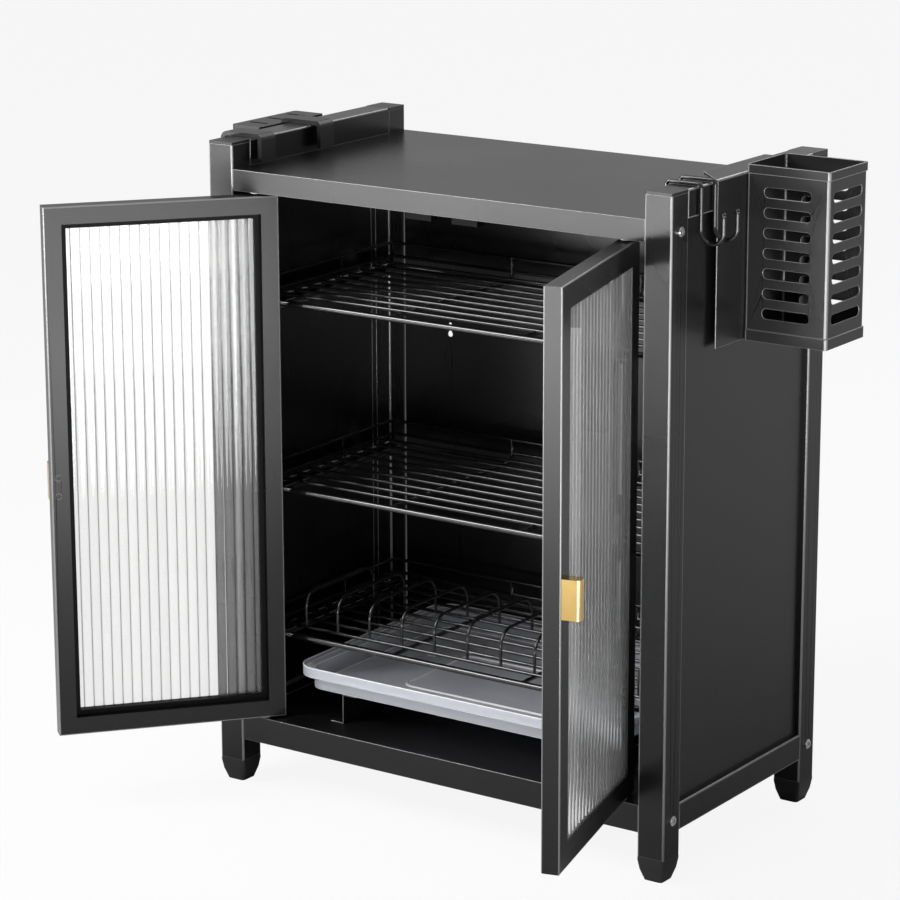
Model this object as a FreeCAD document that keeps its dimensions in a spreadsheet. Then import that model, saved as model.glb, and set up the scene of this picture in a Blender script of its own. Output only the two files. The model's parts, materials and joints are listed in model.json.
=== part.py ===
import FreeCAD
import Part
import Sketcher
import math
import os
import re

# Covered dish drying rack. Origin at the cabinet's centre on the floor, +X to the
# right, -Y to the front, +Z up. Doors stand open, tray is pushed in.

doc = FreeCAD.newDocument("dish_rack")
sheet = doc.addObject("Spreadsheet::Sheet", "sizes")
aliases = []

SIZES = [
    ("frame_width", 600), ("frame_depth", 330), ("frame_height", 750), ("post_size", 33),
    ("tube_wall", 1.2), ("tube_radius", 2), ("foot_height", 27), ("foot_taper", 5),
    ("foot_bulge", 0.6), ("cap_head", 3), ("plug_length", 20), ("plug_play", 0.2),
    ("rail_height", 31), ("plinth_low", 53.5), ("panel_inset", 6), ("sheet_metal", 1.2),
    ("panel_flange", 8), ("deck_drop", 29.5), ("apron_height", 24), ("pan_setback", 1),
    ("apron_return", 40), ("bolt_diameter", 6), ("bolt_hole", 6.6), ("bolt_head", 11),
    ("bolt_head_height", 3.2), ("bolt_top_drop", 12), ("bolt_low_rise", 15.5), ("nut_flats", 10),
    ("nut_height", 5), ("small_screw", 4), ("small_head", 7.5), ("small_head_height", 2),
    ("keyhole_spacing", 400), ("keyhole_height", 481), ("keyhole_diameter", 6.5),
    ("keyhole_slot", 3.6), ("door_side_gap", 3), ("door_centre_gap", 3), ("door_low_gap", 2.5),
    ("door_top_gap", 3), ("door_thickness", 20), ("cell_width", 20), ("lip_width", 6),
    ("lip_thickness", 1.5), ("door_radius", 1.5), ("profile_wall", 1.2), ("key_leg", 40),
    ("glass_base", 3.2), ("flute_rise", 1), ("glass_play", 0.5), ("bead_recess", 8),
    ("pin_inset", 23), ("pin_setback", 8), ("pin_diameter", 6), ("pin_play", 0.05),
    ("bush_diameter", 9), ("bush_head", 13), ("low_bush_head", 2.3), ("top_bush_head", 1),
    ("left_swing", 130), ("right_swing", 105), ("handle_height", 42), ("handle_reach", 20),
    ("handle_depth", 15), ("handle_level", 378), ("handle_radius", 4), ("pull_head", 6.5),
    ("pull_head_height", 0.6), ("catch_offset", 30), ("catch_width", 34), ("catch_depth", 15),
    ("catch_play", 0.3), ("catch_height", 11), ("top_level", 562), ("middle_level", 345),
    ("bowl_level", 172), ("bracket_reach", 18), ("bracket_web", 14), ("bracket_lip", 6),
    ("bracket_tab", 16), ("rack_half", 262), ("rack_front", 122.5), ("rack_rear", 125),
    ("front_rod", 7), ("side_rod", 6), ("wire", 4), ("guard_wire", 3.6), ("wire_pitch", 26.4),
    ("first_wire", 96), ("peg_line", 108), ("guard_front", 114), ("guard_low", 14),
    ("guard_high", 30), ("peg_diameter", 5), ("peg_length", 8), ("peg_hole", 7),
    ("divider_pitch", 45), ("divider_height", 50), ("divider_radius", 20), ("weld_gap", 0.05),
    ("tray_width", 424), ("tray_front", 140), ("tray_rear", 158), ("tray_low", 120),
    ("tray_rise", 28), ("tray_wall", 2), ("tray_radius", 28), ("tray_rim", 11), ("tray_step", 5),
    ("emboss_height", 1.6), ("emboss_width", 4), ("emboss_end", 100), ("emboss_front", 72),
    ("emboss_rear", 92), ("boss_x", 145), ("boss_y", 45), ("boss_diameter", 13),
    ("boss_height", 1), ("runner_centre", 150), ("runner_flange", 18), ("hook_wire", 4.4),
    ("hook_front", 112), ("hook_rear", 84), ("hook_inner", 261), ("hook_outer", 303),
    ("hook_tip", 330), ("hook_low", 691), ("hook_tip_height", 722), ("hook_start", 735),
    ("hook_ball", 6.4), ("rest_play", 0.3), ("basket_width", 98), ("basket_depth", 82),
    ("basket_low", 571), ("basket_top", 760), ("basket_centre", 25), ("basket_band", 12),
    ("basket_rim", 9.5), ("band_step", 1.2), ("slot_pitch", 21.6), ("slot_height", 10.8),
    ("slot_length", 56), ("first_slot", 602), ("basket_wall", 1.2), ("hanger_front", 76),
    ("hanger_rear", 88), ("hanger_slant", 38), ("hanger_low", 572), ("hanger_plate", 1.5),
    ("hanger_inner", 262), ("hanger_hook", 16), ("holder_front", 62), ("holder_length", 120),
    ("holder_width", 42), ("holder_low", 575), ("holder_top", 750), ("holder_wall", 2.4),
    ("holder_gap", 6), ("strap_front", 129), ("strap_width", 26), ("strap_plate", 5),
    ("strap_gap", 110), ("strap_inner", 254), ("strap_drop", 26), ("knife_slot", 5.5),
    ("knife_slot_length", 26), ("knife_pitch", 35),
]

for index, (name, number) in enumerate(SIZES):
    sheet.set("A%d" % (index + 1), name)
    sheet.set("B%d" % (index + 1), str(number))
    sheet.setAlias("B%d" % (index + 1), name)
    aliases.append(name)
doc.recompute()

# Distances worked out from the driving sizes
DERIVED = {
    "HALF_W": "(frame_width/2)",
    "HALF_D": "(frame_depth/2)",
    "POST_X": "(frame_width/2-post_size)",
    "POST_Y": "(frame_depth/2-post_size)",
    "MID_X": "(frame_width/2-post_size/2)",
    "MID_Y": "(frame_depth/2-post_size/2)",
    "PLINTH": "(plinth_low+rail_height)",
    "TOP_LOW": "(frame_height-rail_height)",
    "DECK": "(frame_height-deck_drop)",
    "APRON": "(frame_height-deck_drop-apron_height)",
    "PAN_Y": "(frame_depth/2-pan_setback)",
    "BOLT_TOP": "(frame_height-deck_drop-bolt_top_drop)",
    "BOLT_LOW": "(plinth_low+bolt_low_rise)",
    "PANEL_X": "(frame_width/2-panel_inset)",
    "BACK_Y": "(frame_depth/2-pan_setback-sheet_metal)",
    "DOOR_LOW": "(plinth_low+rail_height+door_low_gap)",
    "DOOR_TOP": "(frame_height-deck_drop-apron_height-door_top_gap)",
    "DOOR_OUT": "(frame_width/2-post_size-door_side_gap)",
    "DOOR_IN": "(door_centre_gap/2)",
    "DOOR_REAR": "(frame_depth/2-door_thickness)",
    "PIVOT_X": "(frame_width/2-post_size-door_side_gap-pin_inset)",
    "PIVOT_Y": "(frame_depth/2-pin_setback)",
    "WEB_X": "(frame_width/2-post_size+1)",
    "SIDE_ROD_X": "(rack_half-side_rod/2-1)",
}


def spelled(text):
    # replaces the short names by the driving sizes they stand for
    return re.sub(r"[A-Z][A-Z_]+", lambda m: DERIVED.get(m.group(0), m.group(0)), text)


def bound(text):
    # points every size name at its cell
    pattern = r"[a-z][a-z_]+"
    return re.sub(pattern, lambda m: ("sizes." + m.group(0)) if m.group(0) in aliases
                  else m.group(0), spelled(text))


def value(text):
    return float(sheet.evalExpression(bound(text)))


def signed(side, text):
    return "(%s)" % text if side > 0 else "-(%s)" % text


def minus(text):
    return "-(%s)" % text


# Section shapes: each is a list of corners (x, y, optional radius) or a circle
def rectangle(x_low, x_high, y_low, y_high, radius=None):
    corners = [(x_low, y_low), (x_high, y_low), (x_high, y_high), (x_low, y_high)]
    if radius:
        corners = [(x, y, radius) for x, y in corners]
    return corners


def circle(x, y, diameter):
    return {"x": x, "y": y, "diameter": diameter}


def hexagon(x, y, flats):
    corners = []
    for k in range(6):
        a = math.radians(60 * k)
        reach = "(%s)/%.9f" % (flats, 2 * math.cos(math.radians(30)))
        corners.append(("(%s)+%s*%.9f" % (x, reach, math.cos(a)),
                        "(%s)+%s*%.9f" % (y, reach, math.sin(a))))
    return corners


def pin_down(sketch, geometry, point, x, y):
    # ties one point of a sketch to its two expressions
    for kind, axis, text in (("DistanceX", -2, x), ("DistanceY", -1, y)):
        number = value(text)
        if abs(number) < 1e-9:
            sketch.addConstraint(Sketcher.Constraint("PointOnObject", geometry, point, axis))
        else:
            row = sketch.addConstraint(Sketcher.Constraint(kind, -1, 1, geometry, point, number))
            sketch.setExpression("Constraints[%d]" % row, bound(text))


def draw_path(sketch, corners, closed=True):
    # straight edges between the corners, with a tangent arc where a corner has a radius
    count = len(corners)
    xy = [(value(c[0]), value(c[1])) for c in corners]
    stops = []
    for i, corner in enumerate(corners):
        radius = corner[2] if len(corner) > 2 else None
        if not closed and i in (0, count - 1):
            radius = None
        if not radius:
            stops.append([(corner[0], corner[1])])
            continue
        pair = []
        for j in (i - 1, (i + 1) % count):
            dx = xy[j][0] - xy[i][0]
            dy = xy[j][1] - xy[i][1]
            if abs(dx) > abs(dy):
                pair.append(("(%s)%s(%s)" % (corner[0], "+" if dx > 0 else "-", radius), corner[1]))
            else:
                pair.append((corner[0], "(%s)%s(%s)" % (corner[1], "+" if dy > 0 else "-", radius)))
        stops.append(pair + [radius])
    lines = {}
    for i in range(count if closed else count - 1):
        a = stops[i][1] if len(stops[i]) > 1 else stops[i][0]
        b = stops[(i + 1) % count][0]
        start = FreeCAD.Vector(value(a[0]), value(a[1]), 0)
        end = FreeCAD.Vector(value(b[0]), value(b[1]), 0)
        lines[i] = sketch.addGeometry(Part.LineSegment(start, end), False)
        pin_down(sketch, lines[i], 2, b[0], b[1])
        if len(stops[i]) > 1 or (not closed and i == 0):
            pin_down(sketch, lines[i], 1, a[0], a[1])
    for i in range(count):
        before = lines.get((i - 1) % count)
        after = lines.get(i)
        if before is None or after is None or (not closed and i == 0):
            continue
        if len(stops[i]) == 1:
            sketch.addConstraint(Sketcher.Constraint("Coincident", before, 2, after, 1))
            continue
        p = FreeCAD.Vector(value(stops[i][0][0]), value(stops[i][0][1]), 0)
        q = FreeCAD.Vector(value(stops[i][1][0]), value(stops[i][1][1]), 0)
        vertex = FreeCAD.Vector(xy[i][0], xy[i][1], 0)
        centre = p + q - vertex
        start = math.atan2(p.y - centre.y, p.x - centre.x)
        end = math.atan2(q.y - centre.y, q.x - centre.x)
        first, last = before, after
        if (end - start) % (2 * math.pi) > math.pi:
            start, end = end, start
            first, last = after, before
        ring = Part.Circle(centre, FreeCAD.Vector(0, 0, 1), (p - centre).Length)
        arc = sketch.addGeometry(Part.ArcOfCircle(ring, start, end), False)
        sketch.addConstraint(Sketcher.Constraint("Coincident", first, 2 if first == before else 1, arc, 1))
        sketch.addConstraint(Sketcher.Constraint("Coincident", last, 1 if last == after else 2, arc, 2))
        row = sketch.addConstraint(Sketcher.Constraint("Radius", arc, (p - centre).Length))
        sketch.setExpression("Constraints[%d]" % row, bound(stops[i][2]))


def draw_circle(sketch, spec):
    centre = FreeCAD.Vector(value(spec["x"]), value(spec["y"]), 0)
    radius = value(spec["diameter"]) / 2
    ring = sketch.addGeometry(Part.Circle(centre, FreeCAD.Vector(0, 0, 1), radius), False)
    pin_down(sketch, ring, 3, spec["x"], spec["y"])
    row = sketch.addConstraint(Sketcher.Constraint("Diameter", ring, radius * 2))
    sketch.setExpression("Constraints[%d]" % row, bound(spec["diameter"]))


def new_sketch(body, plane, level, loops, closed=True):
    sketch = body.newObject("Sketcher::SketchObject", body.Label + "_sketch")
    origin = [f for f in body.Origin.OriginFeatures if f.Role == plane + "_Plane"][0]
    sketch.AttachmentSupport = [(origin, "")]
    sketch.MapMode = "FlatFace"
    offset = minus(level) if plane == "XZ" else level
    sketch.setExpression("AttachmentOffset.Base.z", bound(offset))
    for loop in loops:
        if isinstance(loop, dict):
            draw_circle(sketch, loop)
        else:
            draw_path(sketch, loop, closed)
    return sketch


def new_body(label, several=False):
    body = doc.addObject("PartDesign::Body", label)
    body.Label = label
    if several and hasattr(body, "AllowCompound"):
        body.AllowCompound = True
    parts.append(body)
    return body


def span(body, plane, low, high, loops):
    # adds material between two levels along the plane's world axis
    if value(low) > value(high):
        low, high = high, low
    start = high if plane == "XZ" else low
    sketch = new_sketch(body, plane, start, loops)
    pad = body.newObject("PartDesign::Pad", body.Label + "_pad")
    pad.Profile = sketch
    pad.setExpression("Length", bound("(%s)-(%s)" % (high, low)))
    doc.recompute()
    return pad


def cut(body, plane, low, high, loops):
    # takes material away between two levels along the plane's world axis
    if value(low) > value(high):
        low, high = high, low
    start = low if plane == "XZ" else high
    before = body.Shape.Volume
    sketch = new_sketch(body, plane, start, loops)
    pocket = body.newObject("PartDesign::Pocket", body.Label + "_pocket")
    pocket.Profile = sketch
    pocket.setExpression("Length", bound("(%s)-(%s)" % (high, low)))
    doc.recompute()
    if not body.Shape.Volume < before:
        raise RuntimeError("pocket removes nothing in " + body.Label)
    return pocket


def pipe(body, plane, level, corners, section_plane, section_level, section):
    # a round bar bent along an open path
    path = new_sketch(body, plane, level, [corners], False)
    profile = new_sketch(body, section_plane, section_level, [section])
    doc.recompute()
    sweep = body.newObject("PartDesign::AdditivePipe", body.Label + "_bend")
    sweep.Profile = profile
    sweep.Spine = (path, ["Edge%d" % (k + 1) for k in range(len(path.Geometry))])
    doc.recompute()
    return sweep


def repeat(body, features, axis, length, count):
    # evenly spaced copies of the features along one of the body's axes
    pattern = body.newObject("PartDesign::LinearPattern", body.Label + "_row")
    pattern.Originals = features
    line = [f for f in body.Origin.OriginFeatures if f.Role == axis + "_Axis"][0]
    pattern.Direction = (line, [""])
    pattern.setExpression("Length", bound(length))
    pattern.Occurrences = count
    body.Tip = pattern
    doc.recompute()
    return pattern


def ring(x_low, x_high, y_low, y_high, wall, radius, inner_radius):
    # outer and inner outline of a tube
    inner = rectangle("(%s)+(%s)" % (x_low, wall), "(%s)-(%s)" % (x_high, wall),
                      "(%s)+(%s)" % (y_low, wall), "(%s)-(%s)" % (y_high, wall), inner_radius)
    return [rectangle(x_low, x_high, y_low, y_high, radius), inner]


def ordered(a, b):
    return (a, b) if value(a) < value(b) else (b, a)


parts = []
CORNERS = [(-1, -1), (1, -1), (-1, 1), (1, 1)]

# Four square posts
for label, sx, sy in (("front_left_post", -1, -1), ("front_right_post", 1, -1),
                      ("rear_left_post", -1, 1), ("rear_right_post", 1, 1)):
    post = new_body(label)
    xs = ordered(signed(sx, "POST_X"), signed(sx, "HALF_W"))
    ys = ordered(signed(sy, "POST_Y"), signed(sy, "HALF_D"))
    span(post, "XY", "foot_height", "frame_height-cap_head",
         ring(xs[0], xs[1], ys[0], ys[1], "tube_wall", "tube_radius", "tube_radius-tube_wall"))
    holes = [circle(signed(sy, "MID_Y"), level, "bolt_hole") for level in ("BOLT_TOP", "BOLT_LOW")]
    cut(post, "YZ", xs[0], xs[1], holes)
    holes = [circle(signed(sx, "WEB_X+bracket_tab/2+1"), level + "-bracket_web/2", "small_screw")
             for level in ("top_level", "middle_level", "bowl_level")]
    cut(post, "XZ", signed(sy, "POST_Y"), signed(sy, "POST_Y+tube_wall"), holes)

# Plastic caps in the tops of the posts
caps = new_body("post_caps", True)
for sx, sy in CORNERS:
    span(caps, "XY", "frame_height-cap_head", "frame_height",
         [rectangle(signed(sx, "POST_X"), signed(sx, "HALF_W"), signed(sy, "POST_Y"),
                    signed(sy, "HALF_D"), "tube_radius")])
    xs = ordered(signed(sx, "POST_X+tube_wall+plug_play"), signed(sx, "HALF_W-tube_wall-plug_play"))
    ys = ordered(signed(sy, "POST_Y+tube_wall+plug_play"), signed(sy, "HALF_D-tube_wall-plug_play"))
    span(caps, "XY", "frame_height-cap_head-plug_length", "frame_height-cap_head",
         ring(xs[0], xs[1], ys[0], ys[1], "2", "1", None))

# Plastic feet: tapered under a slight bulge, with a plug up inside the post
feet = new_body("feet", True)
for sx, sy in CORNERS:
    sections = []
    for level, grow, radius in (("0", "-foot_taper", "tube_radius+2"),
                                ("foot_height*0.45", "-foot_taper*0.24", "tube_radius+1.5"),
                                ("foot_height*0.85", "foot_bulge/2", "tube_radius+0.5"),
                                ("foot_height", "0", "tube_radius")):
        xs = ordered(signed(sx, "POST_X-(%s)" % grow), signed(sx, "HALF_W+(%s)" % grow))
        ys = ordered(signed(sy, "POST_Y-(%s)" % grow), signed(sy, "HALF_D+(%s)" % grow))
        sections.append(new_sketch(feet, "XY", level, [rectangle(xs[0], xs[1], ys[0], ys[1], radius)]))
    doc.recompute()
    loft = feet.newObject("PartDesign::AdditiveLoft", "feet_loft")
    loft.Profile = sections[0]
    loft.Sections = sections[1:]
    loft.Ruled = True
    doc.recompute()
    xs = ordered(signed(sx, "POST_X+tube_wall+plug_play"), signed(sx, "HALF_W-tube_wall-plug_play"))
    ys = ordered(signed(sy, "POST_Y+tube_wall+plug_play"), signed(sy, "HALF_D-tube_wall-plug_play"))
    span(feet, "XY", "foot_height", "foot_height+plug_length",
         ring(xs[0], xs[1], ys[0], ys[1], "2", "1", None))

# Side rails between the posts, top and bottom
for label, sx, low, high in (("left_top_rail", -1, "TOP_LOW", "frame_height"),
                             ("right_top_rail", 1, "TOP_LOW", "frame_height"),
                             ("left_bottom_rail", -1, "plinth_low", "PLINTH"),
                             ("right_bottom_rail", 1, "plinth_low", "PLINTH")):
    rail = new_body(label)
    xs = ordered(signed(sx, "POST_X"), signed(sx, "HALF_W"))
    span(rail, "XZ", "-POST_Y", "POST_Y",
         ring(xs[0], xs[1], low, high, "tube_wall", "tube_radius", "tube_radius-tube_wall"))

# Side panels: shallow folded trays set in from the outer faces
for label, sx in (("left_side_panel", -1), ("right_side_panel", 1)):
    panel = new_body(label)
    span(panel, "YZ", signed(sx, "PANEL_X-panel_flange"), signed(sx, "PANEL_X"),
         [rectangle("-POST_Y", "POST_Y", "PLINTH", "TOP_LOW")])
    cut(panel, "YZ", signed(sx, "PANEL_X-panel_flange"), signed(sx, "PANEL_X-sheet_metal"),
        [rectangle("-POST_Y+sheet_metal", "POST_Y-sheet_metal",
                   "PLINTH+sheet_metal", "TOP_LOW-sheet_metal")])

# Top panel: folded pan, its front flange the apron, with a return flange for the hinges
top_panel = new_body("top_panel")
span(top_panel, "XY", "APRON", "DECK", [rectangle("-POST_X", "POST_X", "-PAN_Y", "PAN_Y")])
cut(top_panel, "XY", "APRON", "DECK-sheet_metal",
    [rectangle("-POST_X+sheet_metal", "POST_X-sheet_metal",
               "-PAN_Y+sheet_metal", "PAN_Y-sheet_metal")])
span(top_panel, "XY", "APRON", "APRON+sheet_metal",
     [rectangle("-POST_X+sheet_metal/2", "POST_X-sheet_metal/2",
                "-PAN_Y+sheet_metal/2", "-PAN_Y+apron_return")])
cut(top_panel, "XY", "APRON", "APRON+sheet_metal",
    [circle(signed(sx, "PIVOT_X"), "-PIVOT_Y", "bush_diameter") for sx in (-1, 1)])

# Bottom panel: folded pan, its front flange the plinth
bottom_panel = new_body("bottom_panel")
span(bottom_panel, "XY", "plinth_low", "PLINTH", [rectangle("-POST_X", "POST_X", "-PAN_Y", "PAN_Y")])
cut(bottom_panel, "XY", "plinth_low", "PLINTH-sheet_metal",
    [rectangle("-POST_X+sheet_metal", "POST_X-sheet_metal",
               "-PAN_Y+sheet_metal", "PAN_Y-sheet_metal")])
cut(bottom_panel, "XY", "PLINTH-sheet_metal", "PLINTH",
    [circle(signed(sx, "PIVOT_X"), "-PIVOT_Y", "bush_diameter") for sx in (-1, 1)])

# Bolt holes through the end flanges of both pans
for pan, level in ((top_panel, "BOLT_TOP"), (bottom_panel, "BOLT_LOW")):
    for sx in (-1, 1):
        cut(pan, "YZ", signed(sx, "POST_X-sheet_metal"), signed(sx, "POST_X"),
            [circle(signed(sy, "MID_Y"), level, "bolt_hole") for sy in (-1, 1)])

# Back panel with two keyhole slots, its edges lapped behind the pan flanges
back_panel = new_body("back_panel")
span(back_panel, "XZ", "BACK_Y-sheet_metal", "BACK_Y",
     [rectangle("-POST_X+sheet_metal", "POST_X-sheet_metal", "PLINTH", "APRON+16")])
for sx in (-1, 1):
    cut(back_panel, "XZ", "BACK_Y-sheet_metal", "BACK_Y",
        [circle(signed(sx, "keyhole_spacing/2"), "keyhole_height", "keyhole_diameter")])
    cut(back_panel, "XZ", "BACK_Y-sheet_metal", "BACK_Y",
        [rectangle("%s-keyhole_slot/2" % signed(sx, "keyhole_spacing/2"),
                   "%s+keyhole_slot/2" % signed(sx, "keyhole_spacing/2"),
                   "keyhole_height", "keyhole_height+14", "keyhole_slot*0.45")])
screw_x = ["-180", "-60", "60", "180"]
span(back_panel, "XZ", "BACK_Y-sheet_metal", "BACK_Y",
     [rectangle("-POST_X+sheet_metal+6", "POST_X-sheet_metal-6", "PLINTH-sheet_metal-14", "PLINTH")])
cut(bottom_panel, "XY", "PLINTH-sheet_metal", "PLINTH",
    [rectangle("-POST_X+sheet_metal+6", "POST_X-sheet_metal-6", "BACK_Y-sheet_metal", "BACK_Y")])
for target in (back_panel, top_panel, bottom_panel):
    levels = ["APRON+8", "PLINTH-10"]
    if target is top_panel:
        levels = ["APRON+8"]
    if target is bottom_panel:
        levels = ["PLINTH-10"]
    cut(target, "XZ", "BACK_Y-sheet_metal", "PAN_Y",
        [circle(x, level, "small_screw") for x in screw_x for level in levels])

back_screws = new_body("back_panel_screws", True)
spots = [(x, level) for x in screw_x for level in ("APRON+8", "PLINTH-10")]
span(back_screws, "XZ", "PAN_Y", "PAN_Y+small_head_height",
     [circle(x, level, "small_head") for x, level in spots])
span(back_screws, "XZ", "BACK_Y-sheet_metal-6", "PAN_Y",
     [circle(x, level, "small_screw") for x, level in spots])

# Bolts through the posts into the pans, with nuts inside
bolts = new_body("frame_bolts", True)
nuts = new_body("frame_nuts", True)
spots = [(signed(sy, "MID_Y"), level) for sy in (-1, 1) for level in ("BOLT_TOP", "BOLT_LOW")]
for sx in (-1, 1):
    span(bolts, "YZ", signed(sx, "POST_X-sheet_metal-nut_height-1"), signed(sx, "HALF_W"),
         [circle(y, level, "bolt_diameter") for y, level in spots])
    span(bolts, "YZ", signed(sx, "HALF_W"), signed(sx, "HALF_W+bolt_head_height*0.6"),
         [circle(y, level, "bolt_head") for y, level in spots])
    span(bolts, "YZ", signed(sx, "HALF_W+bolt_head_height*0.6"), signed(sx, "HALF_W+bolt_head_height"),
         [circle(y, level, "bolt_head*0.78") for y, level in spots])
    cut(bolts, "YZ", signed(sx, "HALF_W+bolt_head_height-2.4"), signed(sx, "HALF_W+bolt_head_height"),
        [hexagon(y, level, "4") for y, level in spots])
    span(nuts, "YZ", signed(sx, "POST_X-sheet_metal-nut_height"), signed(sx, "POST_X-sheet_metal"),
         [hexagon(y, level, "nut_flats") for y, level in spots]
         + [circle(y, level, "bolt_diameter") for y, level in spots])

# Rack brackets: folded bars along each side, with tabs screwed to the posts
for side_name, sx in (("left", -1), ("right", 1)):
    bracket = new_body(side_name + "_rack_brackets", True)
    inner = "WEB_X-bracket_reach"
    for level in ("top_level", "middle_level", "bowl_level"):
        outline = [(signed(sx, inner), level), (signed(sx, "WEB_X+sheet_metal"), level),
                   (signed(sx, "WEB_X+sheet_metal"), level + "-bracket_web"),
                   (signed(sx, "WEB_X"), level + "-bracket_web"),
                   (signed(sx, "WEB_X"), level + "-sheet_metal"),
                   (signed(sx, inner + "+sheet_metal"), level + "-sheet_metal"),
                   (signed(sx, inner + "+sheet_metal"), level + "-bracket_lip"),
                   (signed(sx, inner), level + "-bracket_lip")]
        span(bracket, "XZ", "-POST_Y+1", "POST_Y-1", [outline])
        for sy in (-1, 1):
            span(bracket, "XZ", signed(sy, "POST_Y-sheet_metal"), signed(sy, "POST_Y"),
                 [rectangle(signed(sx, "WEB_X"), signed(sx, "WEB_X+bracket_tab+1"),
                            level + "-bracket_web", level),
                  circle(signed(sx, "WEB_X+bracket_tab/2+1"), level + "-bracket_web/2", "small_screw")])
        cut(bracket, "XY", level + "-sheet_metal", level,
            [circle(signed(sx, "SIDE_ROD_X"), signed(sy, "peg_line"), "peg_hole") for sy in (-1, 1)])

bracket_screws = new_body("bracket_screws", True)
spots = [(signed(sx, "WEB_X+bracket_tab/2+1"), level + "-bracket_web/2") for sx in (-1, 1)
         for level in ("top_level", "middle_level", "bowl_level")]
for sy in (-1, 1):
    span(bracket_screws, "XZ", signed(sy, "POST_Y-sheet_metal-small_head_height"),
         signed(sy, "POST_Y-sheet_metal"), [circle(x, z, "small_head") for x, z in spots])
    span(bracket_screws, "XZ", signed(sy, "POST_Y-sheet_metal"), signed(sy, "POST_Y+8"),
         [circle(x, z, "small_screw") for x, z in spots])

# Tray runners standing on the bottom panel, and their screws
runners = new_body("tray_runners", True)
runner_screws = new_body("runner_screws", True)
for sx in (-1, 1):
    web = "runner_centre"
    outline = [(signed(sx, web), "PLINTH"), (signed(sx, web + "+runner_flange"), "PLINTH"),
               (signed(sx, web + "+runner_flange"), "PLINTH+sheet_metal"),
               (signed(sx, web + "+sheet_metal"), "PLINTH+sheet_metal"),
               (signed(sx, web + "+sheet_metal"), "tray_low-rest_play"),
               (signed(sx, web + "-runner_flange"), "tray_low-rest_play"),
               (signed(sx, web + "-runner_flange"), "tray_low-rest_play-sheet_metal"),
               (signed(sx, web), "tray_low-rest_play-sheet_metal")]
    span(runners, "XZ", "-tray_front+12", "tray_rear-10", [outline])
spots = [(signed(sx, "runner_centre+runner_flange/2+1"), y) for sx in (-1, 1) for y in ("-90", "100")]
cut(runners, "XY", "PLINTH", "PLINTH+sheet_metal", [circle(x, y, "small_screw") for x, y in spots])
cut(bottom_panel, "XY", "PLINTH-sheet_metal", "PLINTH", [circle(x, y, "small_screw") for x, y in spots])
span(runner_screws, "XY", "PLINTH+sheet_metal", "PLINTH+sheet_metal+small_head_height",
     [circle(x, y, "small_head") for x, y in spots])
span(runner_screws, "XY", "PLINTH-8", "PLINTH+sheet_metal",
     [circle(x, y, "small_screw") for x, y in spots])


def wire_rack(label, level):
    # a welded grid with four pegs under it, and the guards welded on its sides and rear
    rack = new_body(label, True)
    cross = level + "+side_rod+wire/2-0.8"
    rod = level + "+side_rod/2"
    span(rack, "YZ", "-rack_half", "rack_half",
         [circle("-rack_front", level + "+front_rod/2+0.5", "front_rod")])
    span(rack, "XZ", "-rack_front", "rack_rear",
         [circle(signed(sx, "SIDE_ROD_X"), rod, "side_rod") for sx in (-1, 1)])
    wire_row = span(rack, "YZ", "-SIDE_ROD_X-1", "SIDE_ROD_X+1", [circle("-first_wire", cross, "wire")])
    repeat(rack, [wire_row], "Y", "wire_pitch*8", 9)
    span(rack, "XZ", "-rack_front", "rack_rear",
         [circle(x, level + "+side_rod/2+0.2", "wire+1") for x in ("-rack_half/3", "rack_half/3")])
    span(rack, "YZ", "-SIDE_ROD_X-1", "SIDE_ROD_X+1", [circle("rack_rear", rod, "side_rod-0.4")])
    span(rack, "XY", level + "-peg_length", level + "-weld_gap",
         [circle(signed(sx, "SIDE_ROD_X"), signed(sy, "peg_line"), "peg_diameter")
          for sx in (-1, 1) for sy in (-1, 1)])
    guard = new_body(label + "_guard", True)
    heights = (level + "+guard_low", level + "+guard_high")
    upright = "wire+0.4"
    for sx in (-1, 1):
        span(guard, "XZ", "-guard_front", "rack_rear",
             [circle(signed(sx, "SIDE_ROD_X"), height, "guard_wire") for height in heights])
        span(guard, "XY", level + "+side_rod", level + "+guard_high+1",
             [circle(signed(sx, "SIDE_ROD_X"), y, upright)
              for y in ("-guard_front", "wire_pitch*4.5-first_wire", "rack_rear")])
    inner = "SIDE_ROD_X-wire/2-0.2-weld_gap"
    span(guard, "YZ", minus(inner), inner, [circle("rack_rear", height, "wire") for height in heights])
    span(guard, "XY", level + "+side_rod", level + "+guard_high+1",
         [circle(x, "rack_rear", upright) for x in ("-rack_half/3", "rack_half/3")])


wire_rack("top_rack", "top_level")
wire_rack("middle_rack", "middle_level")
wire_rack("bowl_rack", "bowl_level")

# Plate dividers: arches that stand on two wires of the bowl rack
dividers = new_body("plate_dividers", True)
half = "divider_pitch*5"
foot_level = "bowl_level+side_rod+wire-0.8"
arch_level = "bowl_level+divider_height"
rear_leg = "wire_pitch*5-first_wire"
arch = pipe(dividers, "YZ", minus(half),
            [("-first_wire", foot_level), ("-first_wire", arch_level, "divider_radius"),
             (rear_leg, arch_level, "divider_radius"), (rear_leg, foot_level)],
            "XY", foot_level, circle(minus(half), "-first_wire", "wire-0.6"))
repeat(dividers, [arch], "X", "divider_pitch*10", 11)

# Drip tray: clear moulding with a stepped lip and an embossed frame in the floor
tray = new_body("drip_tray")
half = "tray_width/2"
lip = "tray_low+tray_rise"


def tray_box(inset, radius):
    return rectangle("-%s+(%s)" % (half, inset), "%s-(%s)" % (half, inset),
                     "-tray_front+(%s)" % inset, "tray_rear-(%s)" % inset, radius)


def emboss(inset, radius):
    return rectangle("-%s+emboss_end+%s" % (half, inset), "%s-emboss_end-%s" % (half, inset),
                     "-tray_front+emboss_front+%s" % inset, "tray_rear-emboss_rear-%s" % inset, radius)


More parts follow.
